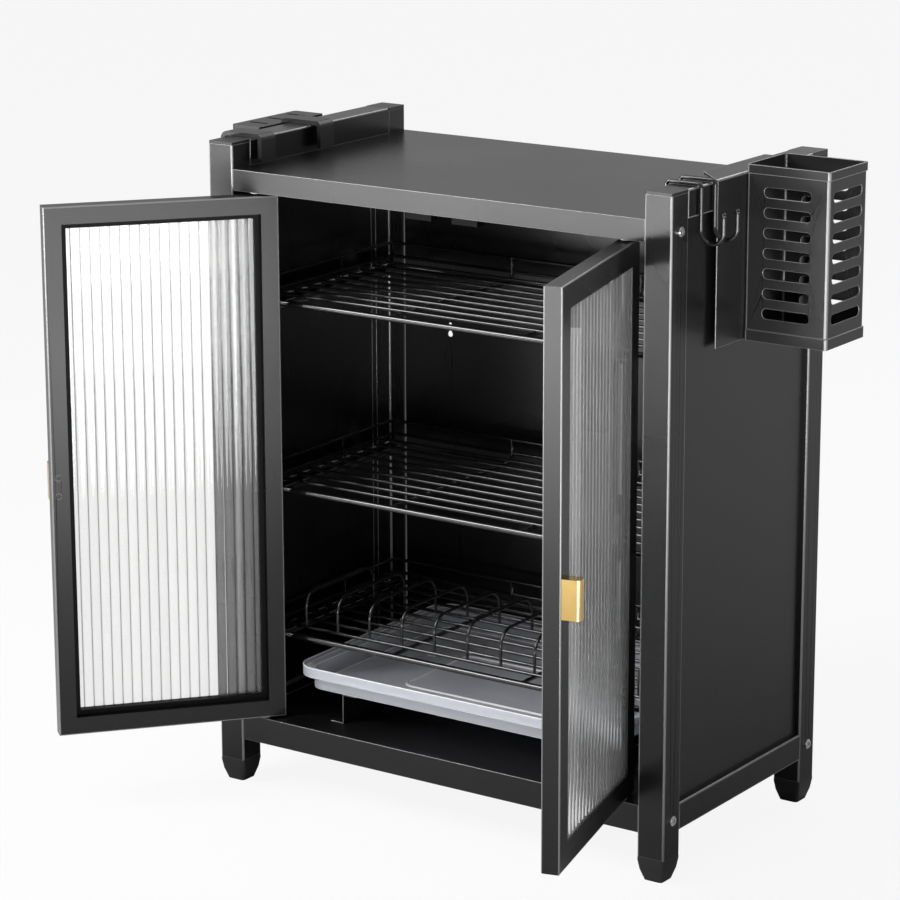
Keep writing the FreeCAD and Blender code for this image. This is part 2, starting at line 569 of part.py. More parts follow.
span(tray, "XY", "tray_low", lip + "-tray_step", [tray_box("tray_rim", "tray_radius-6")])
span(tray, "XY", lip + "-tray_step*2-tray_wall", lip + "-tray_step",
     [tray_box("tray_rim/2", "tray_radius-3")])
span(tray, "XY", lip + "-tray_step-tray_wall", lip, [tray_box("0", "tray_radius")])
span(tray, "XY", lip + "-tray_step-tray_wall-5", lip + "-tray_step",
     [tray_box("0", "tray_radius"), tray_box("tray_wall", "tray_radius-tray_wall")])
cut(tray, "XY", lip + "-tray_step", lip, [tray_box("tray_wall", "tray_radius-tray_wall")])
cut(tray, "XY", "tray_low+tray_wall", lip + "-tray_step",
    [tray_box("tray_rim+tray_wall", "tray_radius-6-tray_wall")])
span(tray, "XY", "tray_low+tray_wall/2", "tray_low+tray_wall+emboss_height",
     [emboss("0", "tray_radius-12"), emboss("emboss_width", "tray_radius-12-emboss_width")])
span(tray, "XY", "tray_low+tray_wall/2", "tray_low+tray_wall+boss_height",
     [circle(signed(sx, "boss_x"), "boss_y", "boss_diameter") for sx in (-1, 1)])

# Doors. Each is drawn shut and then swung about its pins.


def swing(body, sx):
    # placement of a door piece: turned about the hinge pins
    angle = minus("left_swing") if sx < 0 else "right_swing"
    px = bound(signed(sx, "PIVOT_X"))
    py = bound("-PIVOT_Y")
    turn = ("create(<<placement>>; create(<<vector>>; %s; %s; 0); "
            "create(<<rotation>>; create(<<vector>>; 0; 0; 1); %s))" % (px, py, bound(angle)))
    back = ("create(<<placement>>; create(<<vector>>; -(%s); -(%s); 0); "
            "create(<<rotation>>; create(<<vector>>; 0; 0; 1); 0))" % (px, py))
    body.setExpression("Placement", turn + " * " + back)


def door(name, sx):
    def x(text):
        return signed(sx, text)

    front = "-HALF_D"
    rear = "-DOOR_REAR"
    lip_y = "-HALF_D+lip_thickness"
    width = "(cell_width+lip_width)"
    made = []
    # stiles
    for label, edge, inward in (("hinge_stile", "DOOR_OUT", -1), ("meeting_stile", "DOOR_IN", 1)):
        def away(text):
            return x("%s%s(%s)" % (edge, "+" if inward > 0 else "-", text))

        stile = new_body("%s_%s" % (name, label))
        outline = [(away("0"), front, "door_radius"), (away(width), front), (away(width), lip_y),
                   (away("cell_width"), lip_y), (away("cell_width"), rear),
                   (away("0"), rear, "door_radius")]
        cell = rectangle(away("profile_wall"), away("cell_width-profile_wall"),
                         front + "+profile_wall", rear + "-profile_wall")
        span(stile, "XY", "DOOR_LOW", "DOOR_TOP", [outline, cell])
        for end, sign in (("DOOR_TOP", 1), ("DOOR_LOW", -1)):
            grow = "+" if sign > 0 else "-"
            shrink = "-" if sign > 0 else "+"
            corner = [(away("-1"), "%s%s1" % (end, grow)), (away(width + "+1"), "%s%s1" % (end, grow)),
                      (away(width + "+1"), "%s%s(%s+1)" % (end, shrink, width))]
            cut(stile, "XZ", front + "-1", rear + "+1", [corner])
        made.append(stile)
    # rails
    for label, end, sign in (("top_rail", "DOOR_TOP", 1), ("bottom_rail", "DOOR_LOW", -1)):
        def down(text):
            return "%s%s(%s)" % (end, "-" if sign > 0 else "+", text)

        rail = new_body("%s_%s" % (name, label))
        outline = [(front, down("0"), "door_radius"), (front, down(width)), (lip_y, down(width)),
                   (lip_y, down("cell_width")), (rear, down("cell_width")),
                   (rear, down("0"), "door_radius")]
        cell = rectangle(front + "+profile_wall", rear + "-profile_wall",
                         down("profile_wall"), down("cell_width-profile_wall"))
        span(rail, "YZ", x("DOOR_IN"), x("DOOR_OUT"), [outline, cell])
        for edge, inward in (("DOOR_OUT", "-"), ("DOOR_IN", "+")):
            outward = "+" if inward == "-" else "-"
            corner = [(x("%s%s1" % (edge, outward)), down("-1")),
                      (x("%s%s1" % (edge, outward)), down(width + "+1")),
                      (x("%s%s(%s+1)" % (edge, inward, width)), down(width + "+1"))]
            cut(rail, "XZ", front + "-1", rear + "+1", [corner])
        cut(rail, "XY", down("0"), down("profile_wall"),
            [circle(x("PIVOT_X"), "-PIVOT_Y", "pin_diameter")])
        made.append(rail)
    # corner keys inside the hollow sections; the hinge side ones hold the pins
    keys = new_body("%s_corner_keys" % name, True)
    for edge, inward in (("DOOR_OUT", "-"), ("DOOR_IN", "+")):
        for end, shrink in (("DOOR_TOP", "-"), ("DOOR_LOW", "+")):
            def kx(text):
                return x("%s%s(%s)" % (edge, inward, text))

            def kz(text):
                return "%s%s(%s)" % (end, shrink, text)

            near = "profile_wall"
            far = "cell_width-profile_wall"
            outline = [(kx(near), kz(near)), (kx("key_leg"), kz(near)), (kx("key_leg"), kz(far)),
                       (kx(far), kz(far)), (kx(far), kz("key_leg")), (kx(near), kz("key_leg"))]
            span(keys, "XZ", front + "+profile_wall", rear + "-profile_wall", [outline])
    for end, shrink in (("DOOR_TOP", "-"), ("DOOR_LOW", "+")):
        cut(keys, "XY", "%s%sprofile_wall" % (end, shrink), "%s%s(cell_width-profile_wall)" % (end, shrink),
            [circle(x("PIVOT_X"), "-PIVOT_Y", "pin_diameter")])
    made.append(keys)
    # hinge pins
    pins = new_body("%s_hinge_pins" % name, True)
    span(pins, "XY", "DOOR_TOP-cell_width+profile_wall", "APRON+sheet_metal+2",
         [circle(x("PIVOT_X"), "-PIVOT_Y", "pin_diameter")])
    span(pins, "XY", "PLINTH-5", "DOOR_LOW+cell_width-profile_wall",
         [circle(x("PIVOT_X"), "-PIVOT_Y", "pin_diameter")])
    made.append(pins)
    # reeded glass: flat towards the outside, fluted towards the inside
    glass = new_body("%s_glass" % name)
    flutes = 20
    start = x("DOOR_IN+cell_width+glass_play")
    stop = x("DOOR_OUT-cell_width-glass_play")
    low, high = ordered(start, stop)
    sheet_front = "-HALF_D+lip_thickness"
    root = sheet_front + "+glass_base"
    sketch = new_sketch(glass, "XY", "DOOR_LOW+cell_width+glass_play", [])
    nodes = [(high, root), (high, sheet_front), (low, sheet_front), (low, root)]
    edges = []
    for k in range(3):
        a = FreeCAD.Vector(value(nodes[k][0]), value(nodes[k][1]), 0)
        b = FreeCAD.Vector(value(nodes[k + 1][0]), value(nodes[k + 1][1]), 0)
        edges.append(sketch.addGeometry(Part.LineSegment(a, b), False))
        pin_down(sketch, edges[-1], 2, nodes[k + 1][0], nodes[k + 1][1])
        if k == 0:
            pin_down(sketch, edges[0], 1, nodes[0][0], nodes[0][1])
        else:
            sketch.addConstraint(Sketcher.Constraint("Coincident", edges[-2], 2, edges[-1], 1))
    pitch = "((%s)-(%s))/%d" % (high, low, flutes)
    reach = "((%s)^2/8/flute_rise+flute_rise/2)" % pitch
    radius = value(pitch) ** 2 / 8 / value("flute_rise") + value("flute_rise") / 2
    previous = (edges[2], 2)
    for k in range(flutes):
        x_a = value(low) + k * value(pitch)
        x_b = x_a + value(pitch)
        middle = FreeCAD.Vector((x_a + x_b) / 2, value(root) + value("flute_rise") - radius, 0)
        a0 = math.atan2(value(root) - middle.y, x_b - middle.x)
        a1 = math.atan2(value(root) - middle.y, x_a - middle.x)
        arc = sketch.addGeometry(Part.ArcOfCircle(
            Part.Circle(middle, FreeCAD.Vector(0, 0, 1), radius), a0, a1), False)
        sketch.addConstraint(Sketcher.Constraint("Coincident", previous[0], previous[1], arc, 2))
        if k < flutes - 1:
            pin_down(sketch, arc, 1, "(%s)+%d*(%s)" % (low, k + 1, pitch), root)
        else:
            sketch.addConstraint(Sketcher.Constraint("Coincident", arc, 1, edges[0], 1))
        row = sketch.addConstraint(Sketcher.Constraint("Radius", arc, radius))
        sketch.setExpression("Constraints[%d]" % row, bound(reach))
        previous = (arc, 1)
    pane = glass.newObject("PartDesign::Pad", glass.Label + "_pad")
    pane.Profile = sketch
    pane.setExpression("Length", bound("DOOR_TOP-DOOR_LOW-2*(cell_width+glass_play)"))
    doc.recompute()
    made.append(glass)
    # glazing bead: one frame that holds the glass against the lip
    bead = new_body("%s_glazing_bead" % name)
    b_low, b_high = ordered(x("DOOR_IN+cell_width"), x("DOOR_OUT-cell_width"))
    span(bead, "XZ", root + "+flute_rise", rear + "-bead_recess",
         ring(b_low, b_high, "DOOR_LOW+cell_width", "DOOR_TOP-cell_width", "lip_width", None, None))
    made.append(bead)
    # brass pull at the free edge, with a finger hollow behind
    handle = new_body("%s_handle" % name)
    h_near = x("DOOR_IN+1")
    h_far = x("DOOR_IN+1+handle_depth")
    outline = [(h_near, front), (h_near, front + "-handle_reach", "handle_radius"),
               (h_far, front + "-handle_reach", "handle_radius"), (h_far, front)]
    span(handle, "XY", "handle_level-handle_height/2", "handle_level+handle_height/2", [outline])
    cut(handle, "YZ", x("DOOR_IN+handle_depth-4"), h_far,
        [rectangle(front + "-handle_reach+5", front + "-4", "handle_level-handle_height/2+5",
                   "handle_level+handle_height/2-5", "3")])
    screws = [("DOOR_IN+7.5", "handle_level-handle_height/4"),
              ("DOOR_IN+7.5", "handle_level+handle_height/4")]
    holes = [circle(x(sx_text), z, "small_screw") for sx_text, z in screws]
    cut(handle, "XZ", front + "-12", front, holes)
    heads = [circle(x(sx_text), z, "pull_head") for sx_text, z in screws]
    cut(made[1], "XZ", front, rear, holes)
    cut(made[1], "XZ", rear + "-pull_head_height", rear, heads)
    made.append(handle)
    pull_screws = new_body("%s_handle_screws" % name, True)
    span(pull_screws, "XZ", rear + "-pull_head_height", rear, heads)
    span(pull_screws, "XZ", front + "-12", rear + "-pull_head_height/2", holes)
    made.append(pull_screws)
    for piece in made:
        swing(piece, sx)
    doc.recompute()


door("left_door", -1)
door("right_door", 1)

# Hinge bushes in the two pans
bushes = new_body("hinge_bushes", True)
for sx in (-1, 1):
    bore = circle(signed(sx, "PIVOT_X"), "-PIVOT_Y", "pin_diameter+pin_play*2")
    barrel = circle(signed(sx, "PIVOT_X"), "-PIVOT_Y", "bush_diameter")
    head = circle(signed(sx, "PIVOT_X"), "-PIVOT_Y", "bush_head")
    span(bushes, "XY", "APRON-top_bush_head", "APRON", [head, bore])
    span(bushes, "XY", "APRON", "APRON+sheet_metal+1.5", [barrel, bore])
    span(bushes, "XY", "PLINTH", "PLINTH+low_bush_head", [head, bore])
    span(bushes, "XY", "PLINTH-5", "PLINTH", [barrel, bore])

# Magnet catches under the apron's return flange
catches = new_body("magnet_catches", True)
for sx in (-1, 1):
    c_low, c_high = ordered(signed(sx, "catch_offset-catch_width/2"),
                            signed(sx, "catch_offset+catch_width/2"))
    span(catches, "XY", "APRON-catch_height", "APRON",
         [rectangle(c_low, c_high, "-DOOR_REAR+catch_play", "-DOOR_REAR+catch_play+catch_depth", "1.5")])

# Wire hooks over the right-hand top rail, each with a ball at its tip
for label, y in (("front_hook", "-hook_front"), ("rear_hook", "-hook_rear")):
    hook = new_body(label)
    over = "frame_height+hook_wire/2+rest_play"
    bend = "(hook_tip-hook_outer)/2-0.2"
    path = [("hook_inner", "hook_start"), ("hook_inner", over, "hook_wire"),
            ("hook_outer", over, "hook_wire"), ("hook_outer", "hook_low", bend),
            ("hook_tip", "hook_low", bend), ("hook_tip", "hook_tip_height")]
    pipe(hook, "XZ", y, path, "XY", "hook_start", circle("hook_inner", y, "hook_wire"))
    profile = new_sketch(hook, "XZ", y, [])
    half_ball = Part.ArcOfCircle(Part.Circle(FreeCAD.Vector(value("hook_tip"), value("hook_tip_height"), 0),
                                             FreeCAD.Vector(0, 0, 1), value("hook_ball/2")),
                                 -math.pi / 2, math.pi / 2)
    low_end = FreeCAD.Vector(value("hook_tip"), value("hook_tip_height-hook_ball/2"), 0)
    high_end = FreeCAD.Vector(value("hook_tip"), value("hook_tip_height+hook_ball/2"), 0)
    arc = profile.addGeometry(half_ball, False)
    line = profile.addGeometry(Part.LineSegment(high_end, low_end), False)
    profile.addConstraint(Sketcher.Constraint("Coincident", arc, 2, line, 1))
    profile.addConstraint(Sketcher.Constraint("Coincident", arc, 1, line, 2))
    pin_down(profile, line, 1, "hook_tip", "hook_tip_height+hook_ball/2")
    pin_down(profile, line, 2, "hook_tip", "hook_tip_height-hook_ball/2")
    profile.addConstraint(Sketcher.Constraint("PointOnObject", arc, 3, line))
    doc.recompute()
    ball = hook.newObject("PartDesign::Revolution", label + "_ball")
    ball.Profile = profile
    ball.ReferenceAxis = (profile, ["Edge2"])
    ball.Angle = 360
    doc.recompute()

# Utensil basket: slotted sheet box with a proud rim and base band, open on top
basket = new_body("utensil_basket")
back_x = "HALF_W+rest_play+hanger_plate"
front_y = "basket_centre-basket_depth/2"
rear_y = "basket_centre+basket_depth/2"
outer_x = back_x + "+basket_width"
span(basket, "XY", "basket_low", "basket_top",
     [rectangle(back_x, outer_x, front_y, rear_y, "3")])
for low, high in (("basket_low", "basket_low+basket_band"), ("basket_top-basket_rim", "basket_top")):
    span(basket, "XY", low, high,
         [rectangle(back_x, outer_x + "+band_step", front_y + "-band_step", rear_y + "+band_step", "3")])
cut(basket, "XY", "basket_low+basket_wall", "basket_top",
    [rectangle(back_x + "+basket_wall", outer_x + "-basket_wall",
               front_y + "+basket_wall", rear_y + "-basket_wall", "2")])
middle_x = "HALF_W+rest_play+hanger_plate+basket_width/2"
low_slot = "first_slot-slot_height/2"
high_slot = "first_slot+slot_height/2"
both = cut(basket, "XZ", front_y, rear_y,
           [rectangle(middle_x + "-slot_length/2", middle_x + "+slot_length/2",
                      low_slot, high_slot, "slot_height*0.46")])
repeat(basket, [both], "Z", "slot_pitch*6", 7)
side = cut(basket, "YZ", outer_x + "-basket_wall", outer_x,
           [rectangle("basket_centre-slot_length/2-3", "basket_centre+slot_length/2+3",
                      low_slot, high_slot, "slot_height*0.46")])
repeat(basket, [side], "Z", "slot_pitch*6", 7)
drain = [circle(middle_x + "+(%d)" % dx, "basket_centre+(%d)" % dy, "6")
         for dx in (-30, -10, 10, 30) for dy in (-24, 0, 24)]
cut(basket, "XY", "basket_low", "basket_low+basket_wall", drain)

# Hanger plate welded to the basket's back and folded over the rail
hanger = new_body("basket_hanger")
rest = "frame_height+rest_play"
outline = [(back_x, "hanger_low"), (back_x, rest + "+hanger_plate", "2.5"),
           ("hanger_inner", rest + "+hanger_plate", "2.5"), ("hanger_inner", rest + "-hanger_hook"),
           ("hanger_inner+hanger_plate", rest + "-hanger_hook"), ("hanger_inner+hanger_plate", rest, "1"),
           ("HALF_W+rest_play", rest, "1"), ("HALF_W+rest_play", "hanger_low")]
span(hanger, "XZ", "-hanger_front", "hanger_rear", [outline])
cut(hanger, "XY", rest + "-hanger_hook-1", rest + "+hanger_plate+1",
    [[("hanger_inner-1", "-hanger_front-1"), ("HALF_W", "-hanger_front-1"),
      ("hanger_inner-1", "hanger_slant-hanger_front")]])

# Knife holder: slotted box with a back plate and two straps over the left-hand rail
holder = new_body("knife_holder")
wall_x = "HALF_W+rest_play+holder_gap"
far_x = wall_x + "+holder_width"
holder_rear = "holder_length-holder_front"
holder_middle = "holder_length/2-holder_front"
span(holder, "XY", "holder_low", "holder_top",
     [rectangle(minus(far_x), minus(wall_x), "-holder_front", holder_rear, "4")])
cut(holder, "XY", "holder_low+holder_wall", "holder_top-holder_wall",
    [rectangle(minus(far_x + "-holder_wall"), minus(wall_x + "+holder_wall"),
               "-holder_front+holder_wall", holder_rear + "-holder_wall", "2")])
slots = []
for k in (-1, 0, 1):
    y = holder_middle + "+(%d)*knife_pitch" % k
    slots.append(rectangle(minus(far_x + "-7"), minus(far_x + "-7-knife_slot_length"),
                           y + "-knife_slot/2", y + "+knife_slot/2", "knife_slot*0.4"))
cut(holder, "XY", "holder_top-holder_wall", "holder_top", slots)
cut(holder, "XY", "holder_low", "holder_low+holder_wall",
    [circle(minus(wall_x + "+holder_width/2"), holder_middle + "+(%d)" % dy, "8")
     for dy in (-42, -14, 14, 42)])
span(holder, "YZ", minus(wall_x + "+holder_wall"), minus(wall_x),
     [rectangle("-strap_front", holder_rear + "-5", "frame_height-44", "holder_top-2")])
for k in range(2):
    y_low = "-strap_front+%d*strap_gap" % k
    outline = [(minus(wall_x), "frame_height-44"), (minus(wall_x + "+strap_plate"), "frame_height-44"),
               (minus(wall_x + "+strap_plate"), rest + "+strap_plate", "9"),
               (minus("strap_inner"), rest + "+strap_plate", "7"),
               (minus("strap_inner"), rest + "-strap_drop"),
               (minus("strap_inner+strap_plate"), rest + "-strap_drop"),
               (minus("strap_inner+strap_plate"), rest, "2"), (minus(wall_x), rest, "4")]
    span(holder, "XZ", y_low, y_low + "+strap_width", [outline])

doc.recompute()

# Nothing is written unless every object is sound
for obj in doc.Objects:
    state = [s for s in obj.State if s in ("Invalid", "Error")]
    if state:
        raise RuntimeError("%s is %s" % (obj.Name, state))
for piece in parts:
    if piece.Shape.isNull() or not piece.Shape.isValid():
        raise RuntimeError("bad shape: " + piece.Label)

os.makedirs("parts", exist_ok=True)
for piece in parts:
    piece.Shape.exportStep("parts/%s.step" % piece.Label)
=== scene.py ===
import json
import math
import random

import bmesh
import bpy
from mathutils import Matrix, Vector


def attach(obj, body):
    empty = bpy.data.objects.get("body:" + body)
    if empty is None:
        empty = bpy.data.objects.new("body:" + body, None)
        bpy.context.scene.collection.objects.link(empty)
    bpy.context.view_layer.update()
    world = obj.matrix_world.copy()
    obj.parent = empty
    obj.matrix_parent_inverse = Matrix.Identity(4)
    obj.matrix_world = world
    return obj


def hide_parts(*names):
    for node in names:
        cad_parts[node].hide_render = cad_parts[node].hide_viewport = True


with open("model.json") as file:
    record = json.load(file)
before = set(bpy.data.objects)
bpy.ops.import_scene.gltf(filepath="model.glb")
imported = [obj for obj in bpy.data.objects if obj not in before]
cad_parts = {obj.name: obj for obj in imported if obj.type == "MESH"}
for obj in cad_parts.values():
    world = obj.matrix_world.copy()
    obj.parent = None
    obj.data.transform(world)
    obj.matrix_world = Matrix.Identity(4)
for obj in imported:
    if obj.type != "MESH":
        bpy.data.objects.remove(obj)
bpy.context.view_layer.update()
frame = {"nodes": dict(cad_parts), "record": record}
nodes = frame["nodes"]


# Materials

NOISE_DETAIL = 2
NOISE_RANGE = (0.3, 0.7)
GRAIN_HEIGHT = 0.0002
COAT_GRAIN = 1400
PLASTIC_GRAIN = 900


def principled(name, color, roughness, metallic=0.0, **extra):
    mat = bpy.data.materials.new(name)
    mat.use_nodes = True
    shader = mat.node_tree.nodes["Principled BSDF"]
    shader.inputs["Base Color"].default_value = (*color, 1)
    shader.inputs["Roughness"].default_value = roughness
    shader.inputs["Metallic"].default_value = metallic
    for key, number in extra.items():
        shader.inputs[key.replace("_", " ")].default_value = number
    return mat


def add_noise(mat, scale, low, high):
    # slow variation of the roughness between two values
    tree = mat.node_tree
    shader = tree.nodes["Principled BSDF"]
    coords = tree.nodes.new("ShaderNodeTexCoord")
    noise = tree.nodes.new("ShaderNodeTexNoise")
    noise.inputs["Scale"].default_value = scale
    noise.inputs["Detail"].default_value = NOISE_DETAIL
    spread = tree.nodes.new("ShaderNodeMapRange")
    spread.inputs["From Min"].default_value = NOISE_RANGE[0]
    spread.inputs["From Max"].default_value = NOISE_RANGE[1]
    spread.inputs["To Min"].default_value = low
    spread.inputs["To Max"].default_value = high
    tree.links.new(coords.outputs["Object"], noise.inputs["Vector"])
    tree.links.new(noise.outputs["Fac"], spread.inputs["Value"])
    tree.links.new(spread.outputs["Result"], shader.inputs["Roughness"])


def add_grain(mat, scale, strength):
    # fine surface texture as a bump
    tree = mat.node_tree
    shader = tree.nodes["Principled BSDF"]
    coords = tree.nodes.new("ShaderNodeTexCoord")
    noise = tree.nodes.new("ShaderNodeTexNoise")
    noise.inputs["Scale"].default_value = scale
    noise.inputs["Detail"].default_value = NOISE_DETAIL
    bump = tree.nodes.new("ShaderNodeBump")
    bump.inputs["Strength"].default_value = strength
    bump.inputs["Distance"].default_value = GRAIN_HEIGHT
    tree.links.new(coords.outputs["Object"], noise.inputs["Vector"])
    tree.links.new(noise.outputs["Fac"], bump.inputs["Height"])
    tree.links.new(bump.outputs["Normal"], shader.inputs["Normal"])


black = principled("black_powder_coat", (0.006, 0.006, 0.0063), 0.28, Specular_IOR_Level=0.4)
add_noise(black, scale=4, low=0.26, high=0.3)
add_grain(black, COAT_GRAIN, strength=0.05)
# painted highlight: a lighter, glossier coat on bevels and rounded faces stands in for the lamps'
# reflection along the edges
painted_edge_highlight = principled("painted_edge_highlight_coat", (0.19, 0.19, 0.193), 0.22, Specular_IOR_Level=1.0)
matt_black = principled("black_basket_coat", (0.009, 0.009, 0.0092), 0.36, Specular_IOR_Level=0.45)
add_grain(matt_black, COAT_GRAIN, strength=0.06)
wire_black = principled("black_wire_coat", (0.006, 0.006, 0.0063), 0.16, Specular_IOR_Level=0.75)
plastic = principled("black_plastic", (0.01, 0.01, 0.01), 0.36)
add_grain(plastic, PLASTIC_GRAIN, strength=0.08)
nylon = principled("white_nylon", (0.7, 0.7, 0.68), 0.5)
rubber = principled("black_bead", (0.003, 0.003, 0.003), 0.5, Specular_IOR_Level=0.12)
brass = principled("polished_brass", (0.8, 0.55, 0.2), 0.14, metallic=1.0)
add_noise(brass, scale=40, low=0.11, high=0.17)
steel = principled("plated_steel", (0.78, 0.78, 0.8), 0.2, metallic=1.0)
aluminium = principled("mill_aluminium", (0.7, 0.7, 0.71), 0.4, metallic=1.0)
glass = principled("reeded_glass", (0.96, 0.98, 0.97), 0.02, Transmission_Weight=1.0, IOR=1.5)
clear = principled("clear_plastic", (0.92, 0.935, 1.0), 0.12,
                   Transmission_Weight=0.55, IOR=1.45)
# painted highlight: near-white, barely clear plastic on the tray's bevels stands in for light
# caught in its edges
painted_clear_highlight = principled("painted_clear_plastic_highlight", (1.0, 1.0, 1.0), 0.18,
                        Transmission_Weight=0.1, IOR=1.45)

SLOT_LOOK = {
    "black_steel": black, "black_plastic": plastic, "nylon": nylon, "clear_plastic": clear,
    "reeded_glass": glass, "brass": brass, "bead_rubber": rubber,
    "key_aluminium": aluminium, "bright_steel": steel,
}
BEVEL = {"black_steel": 0.0005, "black_plastic": 0.0006, "brass": 0.0012, "bright_steel": 0.0003,
         "bead_rubber": 0.0005, "nylon": 0.0003, "key_aluminium": 0.0002, "clear_plastic": 0.0008}
SHARP_ANGLE = math.radians(35)
NORMAL_STEPS = 20
ROUNDED_SHARE = 0.012
WELD_GAP = 0.000002
FLUSH_GAP = 0.00002
SHORTEST_MITRE = 0.003
MITRE_SLOPE = (0.65, 0.76)


def mark_rounded(mesh):
    # faces of bends, corner radii and hole walls take the second look, the painted edge highlight
    def facing(face):
        return tuple(round(part * NORMAL_STEPS) for part in face.normal)
    areas = {}
    for face in mesh.polygons:
        areas[facing(face)] = areas.get(facing(face), 0.0) + face.area
    least = ROUNDED_SHARE * sum(areas.values())
    for face in mesh.polygons:
        if areas[facing(face)] < least:
            face.material_index = 1


def weigh_edges(mesh):
    # bevel weight on sharp edges, but not on the welded mitres, which are ground flush:
    # those only split the shading
    spots = [tuple(round(part, 5) for part in vertex.co) for vertex in mesh.vertices]
    normals = {}
    for face in mesh.polygons:
        ring = list(face.vertices)
        for first, second in zip(ring, ring[1:] + ring[:1]):
            key = frozenset((spots[first], spots[second]))
            normals.setdefault(key, []).append(face.normal)
    mitres = []
    for edge in mesh.edges:
        first, second = (mesh.vertices[k].co for k in edge.vertices)
        run = second - first
        if run.length <= SHORTEST_MITRE:
            continue
        if MITRE_SLOPE[0] < abs(run.z) / run.length < MITRE_SLOPE[1]:
            square = run.cross(Vector((run.y, -run.x, 0))).normalized()
            if all(abs(square.dot(first - point)) > FLUSH_GAP for square, point in mitres):
                mitres.append((square, first.copy()))
    flush = [any(abs(square.dot(vertex.co - point)) < FLUSH_GAP for square, point in mitres)
             for vertex in mesh.vertices]
    least = math.cos(SHARP_ANGLE)
    weights = mesh.attributes.new("bevel_weight_edge", "FLOAT", "EDGE")
    creases = (mesh.attributes.get("sharp_edge")
               or mesh.attributes.new("sharp_edge", "BOOLEAN", "EDGE"))
    for edge in mesh.edges:
        first, second = edge.vertices
        faced = normals.get(frozenset((spots[first], spots[second])), ())
        sharp = any(one.dot(other) < least for one in faced for other in faced)
        hidden = flush[first] and flush[second]
        weights.data[edge.index].value = 1.0 if sharp and not hidden else 0.0
        creases.data[edge.index].value = sharp and hidden


slots = {row["node"]: row["material_slot"] for row in frame["record"]["subparts"]}
WIRE_WORK = ("_rack", "_guard", "_hook", "plate_dividers")
DOOR_FRAME = ("_stile", "door_top_rail", "door_bottom_rail")
PAINTED_HIGHLIGHT_LOOK = {black: painted_edge_highlight, matt_black: painted_edge_highlight, clear: painted_clear_highlight}
for name, obj in nodes.items():
    slot = slots[name]
    look = SLOT_LOOK[slot]
    if name.endswith(WIRE_WORK):
        look = wire_black
    if name in ("utensil_basket", "basket_hanger"):
        look = matt_black
    if name == "magnet_catches":
        look = rubber
    obj.data.materials.clear()
    obj.data.materials.append(look)
    weld = obj.modifiers.new("weld", "WELD")
    weld.merge_threshold = WELD_GAP
    if slot in BEVEL and not name.endswith(WIRE_WORK):
        # painted highlight: bevel faces of the black coats and the clear plastic take the painted
        # highlight look as their second slot
        has_painted_highlight = look in PAINTED_HIGHLIGHT_LOOK
        if has_painted_highlight:
            obj.data.materials.append(PAINTED_HIGHLIGHT_LOOK[look])
        if look in (black, matt_black):
            mark_rounded(obj.data)
        if name.endswith(DOOR_FRAME):
            weigh_edges(obj.data)
        bevel = obj.modifiers.new("soft_edges", "BEVEL")
        bevel.width = BEVEL[slot]
        bevel.segments = 2
        bevel.limit_method = "WEIGHT" if name.endswith(DOOR_FRAME) else "ANGLE"
        bevel.angle_limit = SHARP_ANGLE
        bevel.harden_normals = True
        bevel.use_clamp_overlap = not has_painted_highlight
        bevel.material = 1 if has_painted_highlight else -1
    even = obj.modifiers.new("even_normals", "WEIGHTED_NORMAL")
    even.keep_sharp = name.endswith(DOOR_FRAME)


# Reeded panes: full flutes, with a painted shade line in each valley standing in for the dark line
# that refraction shows there.
# A pane is drawn where its closed door holds it, then turned to the rest angle, in metres.

FLUTES = 20
PANE_X = (0.022, 0.2435)
PANE_Z = (0.1075, 0.673)
PANE_FRONT, FLUTE_ROOT = -0.1635, -0.1603
FLUTE_RISE, FLUTE_POWER = 0.0013, 0.75
FLUTE_MARKS = (0, 0.03, 0.07, 0.14, 0.24, 0.37, 0.5, 0.63, 0.76, 0.86, 0.93, 0.97)
PAINTED_SHADE_WIDTH = 0.06
TINT_MOST, TINT_SEED = 0.09, 11
HINGE_X, HINGE_Y = 0.241, -0.157


def reeded_look():
    mat = principled("reeded_pane", (0.97, 0.975, 0.97), 0.03, Transmission_Weight=0.9, IOR=1.5)
    tree = mat.node_tree
    shader = tree.nodes["Principled BSDF"]
    painted_valley_shade = tree.nodes.new("ShaderNodeAttribute")
    painted_valley_shade.attribute_name = "painted_valley_shade"
    # painted shade: the ramp darkens the pane's colour along each flute valley, standing in for
    # the dark lines refraction draws there, plus a random darkening per flute
    ramp = tree.nodes.new("ShaderNodeValToRGB")
    ramp.color_ramp.elements[0].color = (0.975, 0.98, 0.975, 1)
    ramp.color_ramp.elements[1].color = (0.04, 0.04, 0.04, 1)
    tree.links.new(painted_valley_shade.outputs["Fac"], ramp.inputs["Fac"])
    tree.links.new(ramp.outputs["Color"], shader.inputs["Base Color"])
    return mat


